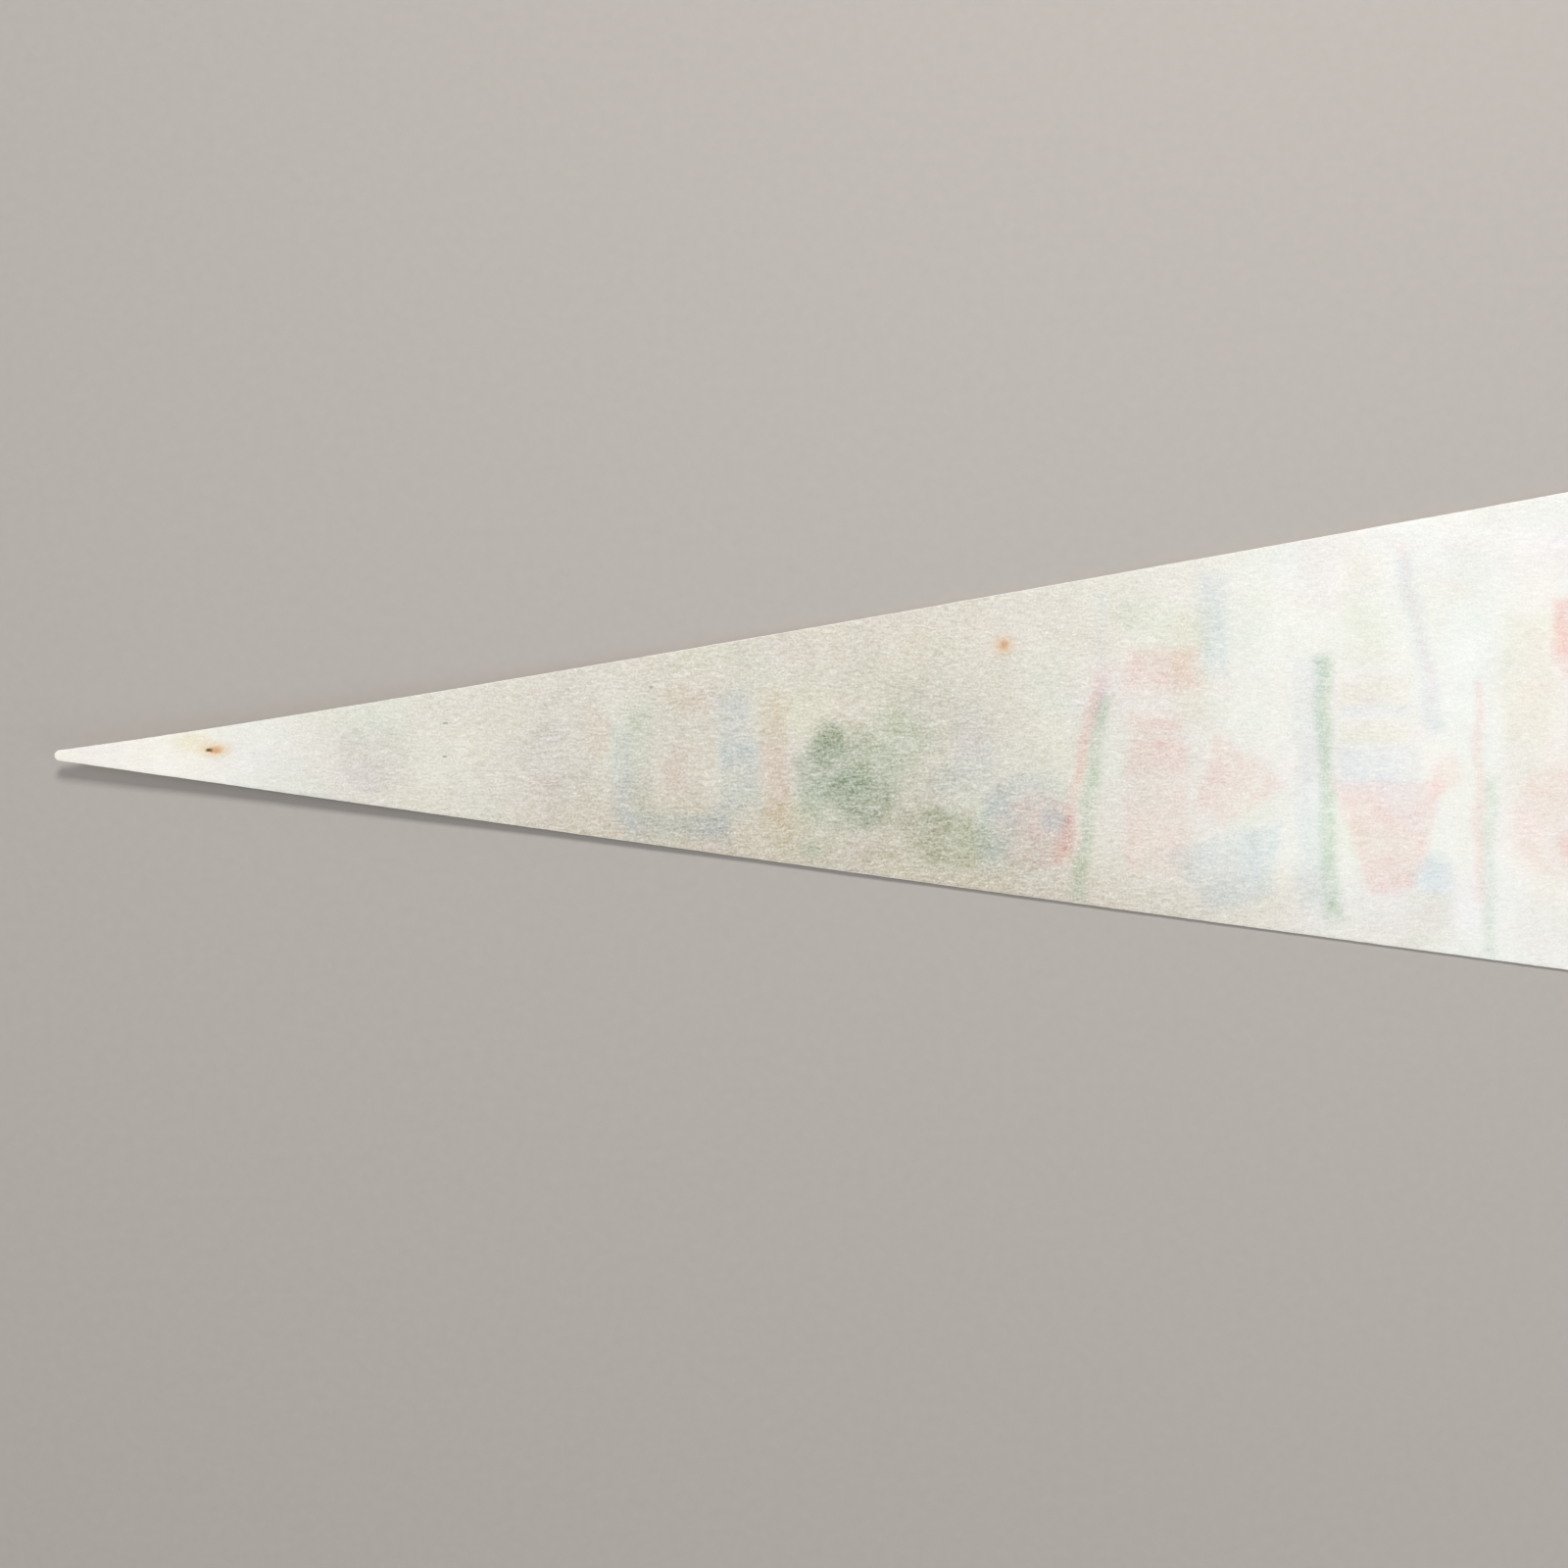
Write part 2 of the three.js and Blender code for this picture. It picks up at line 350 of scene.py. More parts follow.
# Rust, a pin's trace, a staple's two leg marks and two stains, placed as the blocks are. The pin's
# trace is rust with painted shade of its hole, and the leg marks are painted shade of the staple's
# slits; the felt has no holes there.
marks = [
    # colour, along, across, half along, half across, strength, softness
    ("#e8dcae", 49.8, 4.2, 6.0, 3.4, 0.45, 1.0),
    ("#e4b571", 57.6, 1.2, 4.4, 2.2, 0.60, 1.0),
    ("#cd8a44", 57.9, 1.0, 2.0, 1.1, 0.60, 0.8),
    # the dark speck at the pin hole: rust and painted shade of the hole, which the felt mesh
    # doesn't have
    ("#4a3b22", 55.6, 1.0, 1.15, 0.6, 0.92, 0.45),
    # the staple's leg marks: painted shade of its two slits, which are not cut into the felt
    ("#837a70", 141.6, 9.4, 1.1, 0.35, 0.7, 0.5),
    ("#837a70", 141.1, -2.8, 0.9, 0.35, 0.7, 0.5),
    ("#8b7a66", 217, 21.3, 0.7, 0.6, 0.6, 0.6),
    ("#e0b98a", 346, 34.5, 3.2, 3.0, 0.55, 1.0),
    ("#c4894f", 346, 34.6, 1.4, 1.5, 0.55, 0.8),
]
markSettings = {
    "raggedScale": 0.9,  # per mm
    "raggedness": 1.2,
    "edge": 1.6,  # in half sizes, with the raggedness in it
}


# Pressed wool and rayon felt: fibres laid at random and matted under rollers. To the eye
# it is dull and softly mottled, with short hairlines. Its fibres are 0.03 mm thick, far too
# fine to see at this size, so the hairlines are drawn about 0.4 mm wide.

feltGrain = {
    "mottle": 0.8,  # mm, size of the soft light and dark grain
    "hairWidth": 0.4,  # mm
    "hairLengths": 5,  # how many times longer than wide a hairline is
    "hairs": {3: 0.7, -34: 0.3, 62: 0.25},  # degrees, share: most are laid along the roll
    "bendScale": 0.3,  # per mm, how quickly the hairlines bend
    "bendReach": 2.0,  # mm, and how far
    "usual": (0.80, 1.45),  # lowest and highest usual sum of the grain and the hairs
    "cloud": 16.0,  # mm, size of the slow unevenness
    "cloudShare": 0.25,  # its strength as a share of the grain's
    "fleck": 0.05,  # how much single fibres differ in colour
    "rough": (0.98, 0.86),  # roughness in the hollows and on the fibres
}


# The grain's height at a position: soft grain and three layers of hairlines.
def feltHeight(tree, position, seed):
    drift = addNode(tree, "ShaderNodeTexNoise", inputs={
        "Vector": position, "Scale": feltGrain["bendScale"], "Detail": 1.0})
    centred = addNode(tree, "ShaderNodeVectorMath", {"operation": "SUBTRACT"}, {
        0: drift.outputs["Color"], 1: (0.5, 0.5, 0.5)})
    warped = addNode(tree, "ShaderNodeVectorMath", {"operation": "MULTIPLY_ADD"}, {
        0: centred.outputs[0], 1: (feltGrain["bendReach"],) * 3, 2: position})
    grain = addNode(tree, "ShaderNodeTexNoise", inputs={
        "Vector": warped.outputs[0], "Scale": 1 / feltGrain["mottle"],
        "Detail": 3.0, "Roughness": 0.65})
    height = grain.outputs["Fac"]
    for turn, share in feltGrain["hairs"].items():
        laid = addNode(tree, "ShaderNodeMapping", inputs={
            "Vector": warped.outputs[0], "Location": (seed + turn, 0.0, 0.0),
            "Rotation": (0.0, 0.0, math.radians(turn)),
            "Scale": (1 / feltGrain["hairLengths"], 1.0, 1.0)})
        hair = addNode(tree, "ShaderNodeTexNoise", inputs={
            "Vector": laid.outputs[0], "Scale": 0.5 / feltGrain["hairWidth"],
            "Detail": 2.0, "Roughness": 0.6})
        height = addNode(tree, "ShaderNodeMath", {"operation": "MULTIPLY_ADD"}, {
            0: hair.outputs["Fac"], 1: share, 2: height}).outputs[0]
    return height, grain.outputs["Color"]


def usualRange(tree, height, low, high):  # the usual grain spread between two values
    return addNode(tree, "ShaderNodeMapRange", {"clamp": False}, {
        "Value": height, "From Min": feltGrain["usual"][0], "From Max": feltGrain["usual"][1],
        "To Min": low, "To Max": high}).outputs[0]


def feltSurface(tree, position, colour, height, flecks, contrast, depth):
    cloud = addNode(tree, "ShaderNodeTexNoise", inputs={
        "Vector": position, "Scale": 1 / feltGrain["cloud"], "Detail": 2.0})
    swing = feltGrain["cloudShare"] * contrast
    slow = addNode(tree, "ShaderNodeMapRange", inputs={
        "Value": cloud.outputs["Fac"], "From Min": 0.3, "From Max": 0.7,
        "To Min": 1 - swing, "To Max": 1 + swing})
    both = addNode(tree, "ShaderNodeMath", {"operation": "MULTIPLY"}, {
        0: usualRange(tree, height, 1 - contrast, 1 + contrast), 1: slow.outputs[0]})
    fleck = feltGrain["fleck"]
    flecked = addNode(tree, "ShaderNodeVectorMath", {"operation": "MULTIPLY_ADD"}, {
        0: flecks, 1: (2 * fleck,) * 3, 2: (1 - fleck,) * 3})
    dyed = addNode(tree, "ShaderNodeVectorMath", {"operation": "MULTIPLY"}, {
        0: colour, 1: flecked.outputs[0]})
    mottled = addNode(tree, "ShaderNodeVectorMath", {"operation": "SCALE"}, {
        0: dyed.outputs[0], "Scale": both.outputs[0]})
    bump = addNode(tree, "ShaderNodeBump", inputs={
        "Height": height, "Distance": depth * mm, "Strength": 1.0})
    surface = addNode(tree, "ShaderNodeBsdfPrincipled", inputs={
        "Base Color": mottled.outputs[0],
        "Roughness": usualRange(tree, height, *feltGrain["rough"]),
        "Specular IOR Level": 0.2, "Sheen Weight": 0.25, "Sheen Roughness": 0.6,
        "Normal": bump.outputs[0]})
    addNode(tree, "ShaderNodeOutputMaterial", inputs={"Surface": surface.outputs[0]})


def inMillimetres(tree, centre=(0.0, 0.0)):
    coords = addNode(tree, "ShaderNodeTexCoord")
    scaled = addNode(tree, "ShaderNodeMapping", inputs={
        "Vector": coords.outputs["Object"], "Scale": (1 / mm,) * 3,
        "Location": (-centre[0] / mm, -centre[1] / mm, 0.0)})
    return scaled.outputs[0]


def halfSizesAway(tree, position, halfAlong, halfAcross):  # 1 on the ellipse of these sizes
    squeezed = addNode(tree, "ShaderNodeVectorMath", {"operation": "MULTIPLY"}, {
        0: position, 1: (1 / halfAlong, 1 / halfAcross, 0.0)})
    return addNode(tree, "ShaderNodeVectorMath", {"operation": "LENGTH"}, {
        0: squeezed.outputs[0]}).outputs["Value"]


# The plain back: off-white, greyed by dirt and darkened by painted shade, with ink soaked through,
# a few rust marks and stains, and painted shade in the pin and staple holes.
def whiteFeltBack():
    material, tree = newMaterial("pressed_white_felt_back")
    position = inMillimetres(tree, (tipX, 0.0))
    height, flecks = feltHeight(tree, position, 0.0)
    inkDirtAndShade = addNode(tree, "ShaderNodeAttribute", {"attribute_name": "soakedInkDirtAndShade"})
    colour = addNode(tree, "ShaderNodeMix", {  # some fibres show more of the soaked-through ink, dirt and painted shade than others
        "data_type": "RGBA", "blend_type": "MULTIPLY", "clamp_factor": False}, {
        0: usualRange(tree, height, 1.5, 0.5), 6: linear("#efefe6"),
        7: inkDirtAndShade.outputs["Color"]}).outputs[2]
    ragged = addNode(tree, "ShaderNodeTexNoise", inputs={
        "Vector": position, "Scale": markSettings["raggedScale"],
        "Detail": 3.0, "Roughness": 0.7})
    edge = markSettings["edge"]
    for hexColour, along, across, halfAlong, halfAcross, strength, soft in marks:
        offset = addNode(tree, "ShaderNodeVectorMath", {"operation": "SUBTRACT"}, {
            0: position, 1: (along, across, 0.0)})
        far = halfSizesAway(tree, offset.outputs[0], halfAlong, halfAcross)
        torn = addNode(tree, "ShaderNodeMath", {"operation": "MULTIPLY_ADD"}, {
            0: ragged.outputs["Fac"], 1: markSettings["raggedness"], 2: far})
        stain = addNode(tree, "ShaderNodeMapRange", {"interpolation_type": "SMOOTHSTEP"}, {
            "Value": torn.outputs[0], "From Min": edge - soft, "From Max": edge + soft,
            "To Min": strength, "To Max": 0.0})
        colour = addNode(tree, "ShaderNodeMix", {"data_type": "RGBA"}, {
            0: stain.outputs[0], 6: colour, 7: linear(hexColour)}).outputs[2]
    feltSurface(tree, position, colour, height, flecks, contrast=0.08, depth=0.035)
    return material


# The cut edge: the blade bares the ends of the fibres, so it is rougher; its colour is a shade
# lighter than the back, a painted highlight where the edge catches the light.
def whiteFeltEdge():
    material, tree = newMaterial("white_felt_edge_painted_highlight")
    position = inMillimetres(tree)
    colour = addNode(tree, "ShaderNodeRGB")
    # painted highlight: the edge is drawn lighter than the back
    colour.outputs[0].default_value = linear("#f3efe6")
    height, flecks = feltHeight(tree, position, 20.0)
    feltSurface(tree, position, colour.outputs[0], height, flecks, contrast=0.10, depth=0.06)
    return material


# The screen-printed front: flat opaque ink that sits in the fibres, its edges a little furry.
def printedFeltFront():
    material, tree = newMaterial("screen_printed_white_felt_front")
    position = inMillimetres(tree, (tipX, 0.0))
    soft, fray = printSettings["frontSoftness"], printSettings["frontFray"]
    frayed = addNode(tree, "ShaderNodeTexNoise", inputs={
        "Vector": position, "Scale": 1.6, "Detail": 2.0})
    middle = addNode(tree, "ShaderNodeVectorMath", {"operation": "SUBTRACT"}, {
        0: frayed.outputs["Color"], 1: (0.5, 0.5, 0.5)})
    place = addNode(tree, "ShaderNodeVectorMath", {"operation": "MULTIPLY_ADD"}, {
        0: middle.outputs[0], 1: (fray, fray, 0.0), 2: position})
    colour = addNode(tree, "ShaderNodeRGB").outputs[0]
    colour.default_value = linear("#efece2")
    for block in blocks:
        shape, ink, along, across, halfAlong, halfAcross, through, turn, taper = filledIn(block)
        if through < printSettings["frontLeast"]:
            continue
        angle = math.radians(turn)
        c, s = math.cos(angle), math.sin(angle)
        turned = addNode(tree, "ShaderNodeMapping", inputs={
            "Vector": place.outputs[0], "Rotation": (0.0, 0.0, -angle),
            "Location": (-along * c - across * s, along * s - across * c, 0.0)})
        least = float(min(halfAlong, halfAcross))
        if shape == "disc":
            far = halfSizesAway(tree, turned.outputs[0], halfAlong, halfAcross)
            distance = addNode(tree, "ShaderNodeMath", {"operation": "MULTIPLY_ADD"}, {
                0: far, 1: least, 2: -least})
        else:
            folded = addNode(tree, "ShaderNodeVectorMath", {"operation": "ABSOLUTE"}, {
                0: turned.outputs[0]})
            outside = addNode(tree, "ShaderNodeVectorMath", {"operation": "SUBTRACT"}, {
                0: folded.outputs[0], 1: (halfAlong, halfAcross, 0.0)})
            parts = addNode(tree, "ShaderNodeSeparateXYZ", inputs={0: outside.outputs[0]})
            wide = parts.outputs["X"]
            if taper:
                straight = addNode(tree, "ShaderNodeSeparateXYZ", inputs={0: turned.outputs[0]})
                wide = addNode(tree, "ShaderNodeMath", {"operation": "MULTIPLY_ADD"}, {
                    0: straight.outputs["Y"], 1: -halfAlong * taper / halfAcross, 2: wide},
                ).outputs[0]
            distance = addNode(tree, "ShaderNodeMath", {"operation": "MAXIMUM"}, {
                0: wide, 1: parts.outputs["Y"]})
        cover = addNode(tree, "ShaderNodeMapRange", inputs={
            "Value": distance.outputs[0], "From Min": -soft, "From Max": soft,
            "To Min": printSettings["frontCover"], "To Max": 0.0})
        colour = addNode(tree, "ShaderNodeMix", {"data_type": "RGBA"}, {
            0: cover.outputs[0], 6: colour, 7: linear(inks[ink][0])}).outputs[2]
    height, flecks = feltHeight(tree, position, 40.0)
    feltSurface(tree, position, colour, height, flecks, contrast=0.08, depth=0.03)
    return material


# The dyed felt: the same cloth piece-dyed a brick red, which has faded unevenly.
def redFelt():
    material, tree = newMaterial("piece_dyed_red_felt")
    position = inMillimetres(tree)
    faded = addNode(tree, "ShaderNodeTexNoise", inputs={
        "Vector": position, "Scale": 1 / 22, "Detail": 3.0})
    colour = addNode(tree, "ShaderNodeMix", {"data_type": "RGBA"}, {
        0: faded.outputs["Fac"], 6: linear("#96322f"), 7: linear("#b04a44")})
    height, flecks = feltHeight(tree, position, 60.0)
    feltSurface(tree, position, colour.outputs[2], height, flecks, contrast=0.22, depth=0.05)
    return material


# Two-ply spun cotton: slightly shiny twisted yarn, yellowed a little.
def cottonThread():
    material, tree = newMaterial("two_ply_spun_cotton_thread")
    position = inMillimetres(tree)
    lint = addNode(tree, "ShaderNodeTexNoise", inputs={
        "Vector": position, "Scale": 5.0, "Detail": 2.0})
    colour = addNode(tree, "ShaderNodeMix", {"data_type": "RGBA"}, {
        0: lint.outputs["Fac"], 6: linear("#cfc8b4"), 7: linear("#ebe6d8")})
    bump = addNode(tree, "ShaderNodeBump", inputs={
        "Height": lint.outputs["Fac"], "Distance": 0.05 * mm, "Strength": 1.0})
    surface = addNode(tree, "ShaderNodeBsdfPrincipled", inputs={
        "Base Color": colour.outputs[2], "Roughness": 0.6, "Specular IOR Level": 0.35,
        "Sheen Weight": 0.3, "Sheen Roughness": 0.4, "Normal": bump.outputs[0]})
    addNode(tree, "ShaderNodeOutputMaterial", inputs={"Surface": surface.outputs[0]})
    return material


finishes = {
    "back": whiteFeltBack(),
    "edge": whiteFeltEdge(),
    "front": printedFeltFront(),
    "red": redFelt(),
    "thread": cottonThread(),
}
print("materials ready")


cut = {
    # The long edges are shallow curves, as in the CAD model.
    "length": 686 * mm,
    "endWidth": 216 * mm,
    "tipRadius": 2 * mm,
    "upperHollow": (110 * mm, 5.4 * mm),  # where the edge's curve is pulled, how far inwards
    "lowerHollow": (330 * mm, -1.5 * mm),
    "waver": 0.07 * mm,  # the shears were not quite steady
    "waverLength": 9 * mm,
}
lay = {
    "curlLength": 380 * mm,  # the tip stays curled up from rolled storage
    "rampLength": 20 * mm,  # the field climbs onto the header over this length
    "ripple": 0.9 * mm,  # slow unevenness where the felt doesn't quite touch down
    "rippleLength": 95 * mm,
    "rippleFades": (60 * mm, 25 * mm),  # before the header
    "swell": 0.35 * mm,  # where the field lies over a sewn-in streamer
    "swellSides": (4 * mm, 7 * mm),  # from the streamer's middle
    "swellEnds": (-3 * mm, 1 * mm),  # from the streamer's start
    "heldDown": 2.6 * mm,  # beside a stitch row, where it can't swell
    "nap": 0.025 * mm,  # matted surface
    "napLength": 3.0 * mm,
    "matting": 0.05 * mm,
    "mattingLength": 11 * mm,
}
stitch = {
    "pitch": 3.2 * mm,
    "thread": 0.17 * mm,  # radius of one ply
    "rise": {"bobbin": 0.55 * mm, "needle": 0.15 * mm},  # the front's lie flat under its weight
    "rows": {"inner": 4 * mm, "outer": 22 * mm},  # from the header's inner edge
    "endMargin": 4 * mm,
    "sunk": 0.18 * mm,  # how far under the felt's face a loop starts
    "dive": 0.35 * mm,  # and how much deeper its ends go
    "span": 0.47,  # half of a loop, as a share of the pitch
    "twists": 1.3,  # turns of the two plies in one loop
    "pull": 0.30 * mm,  # how deep the tight thread draws the felt in
    "pullWidth": 0.62 * mm,
    "groove": 0.45,  # how much of that depth is left between two holes
    "hollow": (0.35, 3.2),  # the wide soft dip: share of the depth, and of the width
    "nearRow": 2.4 * mm,  # the mesh is finer this close to a row
}
backLevel = 2.7 * mm  # the field's back over the header
fieldThickness = 1.2 * mm
headerThickness = headerHigh.z - headerLow.z
streamers = {
    "width": 10 * mm,
    "thickness": 0.8 * mm,
    "sewnLength": 18 * mm,
    "splay": 6,  # degrees
    "sagLength": 22 * mm,
}


# One long edge, from the header to the tip, on the side where Y is positive or negative.
def longEdge(side, hollow):
    along, depth = hollow
    half, r = cut["endWidth"] / 2, cut["tipRadius"]
    pull = Vector((along, side * (along / cut["length"] * half + r - depth)))
    turn = math.pi / 2 + math.atan2(abs(pull.y) - r, pull.x - r)
    start = Vector((cut["length"], side * half))
    end = Vector((r + r * math.cos(turn), side * r * math.sin(turn)))
    steps = 520  # fine enough that no corner shows along the cut
    points = []
    for i in range(steps + 1):
        t = i / steps
        points.append(start * (1 - t) ** 2 + pull * 2 * t * (1 - t) + end * t * t)
    return points, turn


upperEdge, upperTurn = longEdge(1, cut["upperHollow"])
lowerEdge, lowerTurn = longEdge(-1, cut["lowerHollow"])


def halfWidth(x, side):  # how far a long edge is from the middle at a place along X
    edge = upperEdge if side > 0 else lowerEdge
    return float(np.interp(x - tipX, [p.x for p in edge][::-1], [abs(p.y) for p in edge][::-1]))


# Points about step apart along a closed line, its corners kept.
def evenly(line, step):
    points = []
    for (x0, y0), (x1, y1) in zip(line, line[1:] + line[:1]):
        count = max(1, round(math.hypot(x1 - x0, y1 - y0) / step))
        points += [(x0 + (x1 - x0) * i / count, y0 + (y1 - y0) * i / count)
                   for i in range(count)]
    return np.array(points)


# Moves a closed line inwards by a distance, or outwards where it is negative.
def inset(line, distance):
    before, after = np.roll(line, 1, axis=0), np.roll(line, -1, axis=0)
    first, second = line - before, after - line
    first /= np.linalg.norm(first, axis=1)[:, None]
    second /= np.linalg.norm(second, axis=1)[:, None]
    normal = np.stack([-(first + second)[:, 1], (first + second)[:, 0]], axis=1)
    normal /= np.linalg.norm(normal, axis=1)[:, None]
    across = np.abs(normal[:, 0] * -second[:, 1] + normal[:, 1] * second[:, 0])
    return line + normal * (np.atleast_1d(distance) / np.clip(across, 0.4, 1))[..., None]


def waver(line, size, length, seed):  # an unsteady cut
    wobble = softNoise(line, length, seed) + 0.4 * softNoise(line, length / 4, seed + 5)
    return inset(line, size * wobble)


def isInside(points, line):
    order = np.argsort(points[:, 1])
    x, y = points[order].T
    found = np.zeros(len(points), bool)
    for (x0, y0), (x1, y1) in zip(line, np.roll(line, -1, axis=0)):
        if y0 != y1:  # only the points level with this stretch of the line can change
            level = slice(*np.searchsorted(y, sorted((y0, y1))))
            found[level] ^= x[level] < (x1 - x0) * (y[level] - y0) / (y1 - y0) + x0
    inside = np.zeros(len(points), bool)
    inside[order] = found
    return inside


# Points in offset rows inside a line, shifted a little each so that no pattern shows.
def scatter(line, spacing, rng):
    low, high = line.min(axis=0), line.max(axis=0)
    rows = np.arange(low[1], high[1], spacing * 0.866)
    columns = np.arange(low[0], high[0], spacing)
    grid = np.array([(x + spacing * 0.5 * (i % 2), y) for i, y in enumerate(rows)
                     for x in columns])
    grid += rng.uniform(-0.14, 0.14, grid.shape) * spacing
    return grid[isInside(grid, line)]


# Triangles that fill a line, with the points inside it as corners.
def fill(points, line):
    ring = list(range(len(line)))
    edges = list(zip(ring, ring[1:] + ring[:1]))
    spots = [Vector(p) for p in np.concatenate([line, points])]
    made = delaunay_2d_cdt(spots, edges, [], 0, 1e-9)
    where = {old: new for new, olds in enumerate(made[3]) for old in olds}
    corners = np.array([v.to_tuple() for v in made[0]])
    triangles = np.array(made[2])
    kept = triangles[isInside(corners[triangles].mean(axis=1), line)].tolist()
    return corners, kept, [where[i] for i in ring]


rimSettings = {
    "width": 0.22 * mm,
    "angles": (62, 32, 0, -32, -62),  # degrees, of the rings of points round the cut
    "roundness": 0.7,  # 1 is a half circle, less is squarer
    "raggedness": 0.35,
    "margin": 0.45,  # steps left free inside the rim
}


# One closed piece of felt: two fine faces and a rounded, slightly ragged cut rim.
# low and high give the height of each face at an array of points.
def feltPiece(name, outline, low, high, spacing, looks, seed, dense=None,
              rim=rimSettings["width"]):
    rng = np.random.default_rng(seed)
    inner = inset(outline, rim)
    layers = []
    for step in spacing:
        spots = scatter(inset(inner, rimSettings["margin"] * step), step, rng)
        if dense:
            fine, isDense = dense
            spots = spots[~isDense(spots)]
            extra = scatter(inset(inner, rimSettings["margin"] * fine), fine, rng)
            spots = np.concatenate([spots, extra[isDense(extra)]])
        layers.append(fill(spots, inner))
    points, faces, kinds, rings = [], [], [], []
    for (flat, triangles, edge), level, kind in zip(layers, (high, low), (0, 2)):
        base = len(points)
        points += [(x, y, z) for (x, y), z in zip(flat, level(flat))]
        first, second, third = flat[np.array(triangles)].transpose(1, 0, 2)
        turn = np.cross(second - first, third - first)
        for (a, b, c), up in zip(triangles, turn > 0):
            if up != (kind == 0):
                b, c = c, b
            faces.append((base + a, base + b, base + c))
            kinds.append(kind)
        rings.append([base + i for i in edge])
    top, bottom = high(inner), low(inner)
    centre, half = (top + bottom) / 2, (top - bottom) / 2
    ragged = softNoise(outline, 0.9 * mm, seed + 3.3) + 0.5 * softNoise(outline, 0.4 * mm, seed)
    last = rings[0]
    for angle in rimSettings["angles"]:
        a, power = math.radians(angle), rimSettings["roundness"]
        out = rim * math.cos(a) ** power * (1 + rimSettings["raggedness"] * ragged)
        ring = inset(inner, -out)
        z = centre + half * math.copysign(abs(math.sin(a)) ** power, a)
        new = list(range(len(points), len(points) + len(ring)))
        points += [(x, y, height) for (x, y), height in zip(ring, z)]
        faces += rimFaces(last, new)
        kinds += [1] * len(new)
        last = new
    faces += rimFaces(last, rings[1])
    kinds += [1] * len(last)
    mesh = bpy.data.meshes.new(name)
    mesh.from_pydata(points, [], faces)
    for look in looks:
        mesh.materials.append(finishes[look])
    mesh.polygons.foreach_set("material_index", [min(k, len(looks) - 1) for k in kinds])
    mesh.polygons.foreach_set("use_smooth", [True] * len(faces))
    mesh.update()
    print(f"{name}: {len(points)} points")
    return newObject(name, mesh)


def rimFaces(upper, lower):
    count = len(upper)
    return [(upper[i], lower[i], lower[(i + 1) % count], upper[(i + 1) % count])
            for i in range(count)]


# Every streamer with its body, its place on the bending line and its splay.
joints = {joint["child"]: joint for joint in frame["joints"]}
places = {}
for name in ("top", "middle", "bottom"):
    for i, side in ((1, 1), (2, -1)):
        body = f"streamer_{name}_{i}"
        places[body] = {"bend": Vector(joints[body]["pos_m"]), "splay": side * streamers["splay"]}


# 1 over each streamer's sewn-in end, falling to 0 between two distances from its middle
# and between two distances from its start.
def overRoots(points, sides, ends):
    x, y = points[:, 0], points[:, 1]
    start = headerHigh.x - streamers["sewnLength"]
    over = np.zeros(len(points))
    for place in places.values():
        middle = place["bend"].y + (x - place["bend"].x) * math.tan(math.radians(place["splay"]))
        near = 1 - smoothStep(np.abs(y - middle), *sides)
        over = np.maximum(over, near * smoothStep(x, *[start + gap for gap in ends]))
    return over


# Height of the field's underside.
def fieldUnder(points):
    x = points[:, 0]
    lift = fieldHigh.z - fieldThickness
    curl = lift * np.clip(1 - (x - tipX) / lay["curlLength"], 0, 1) ** 2
    ramp = headerThickness * smoothStep(x, headerLow.x - lay["rampLength"], headerLow.x)
    slow = softNoise(points, lay["rippleLength"], 2.5) + 0.35 * softNoise(
        points, lay["rippleLength"] / 3, 8.5)
    free = 1 - smoothStep(x, *[headerLow.x - gap for gap in lay["rippleFades"]])
    ripple = lay["ripple"] * np.clip(slow + 0.12, 0, 1) ** 1.5 * free
    over = overRoots(points, lay["swellSides"], lay["swellEnds"])
    for row in stitch["rows"].values():  # except where the stitches hold it down
        over *= 1 - np.exp(-((x - headerLow.x - row) / lay["heldDown"]) ** 4)
    return curl + ramp + ripple + lay["swell"] * over


# How far the stitches draw the felt in: along each row, and deepest at each needle hole.
def stitchPull(points):
    x, y = points[:, 0], points[:, 1]
    pulled = np.zeros(len(points))
    groove, (share, width) = stitch["groove"], stitch["hollow"]
    for row in stitch["rows"].values():
        offset = (x - headerLow.x - row) / stitch["pullWidth"]
        holes = 0.5 + 0.5 * np.cos(2 * math.pi * y / stitch["pitch"])
        reach = rowHalfLength(row)
        within = 1 - smoothStep(np.abs(y), reach, reach + 1 * mm)
        pulled += (groove + (1 - groove) * holes) * np.exp(-offset ** 2) * within
        pulled += share * np.exp(-(offset / width) ** 2) * within
    return stitch["pull"] * pulled


def rowHalfLength(row):
    share = (headerLow.x + row - tipX) / cut["length"]
    return share * cut["endWidth"] / 2 - stitch["endMargin"]


def matted(points, seed):
    return (lay["nap"] * softNoise(points, lay["napLength"], seed)
            + lay["matting"] * softNoise(points, lay["mattingLength"], seed + 4))


def fieldTop(points):
    return fieldUnder(points) + fieldThickness + matted(points, 1.5) - stitchPull(points)


def nearRows(points):
    x = points[:, 0] - headerLow.x
    return np.any([np.abs(x - row) < stitch["nearRow"] for row in stitch["rows"].values()], axis=0)


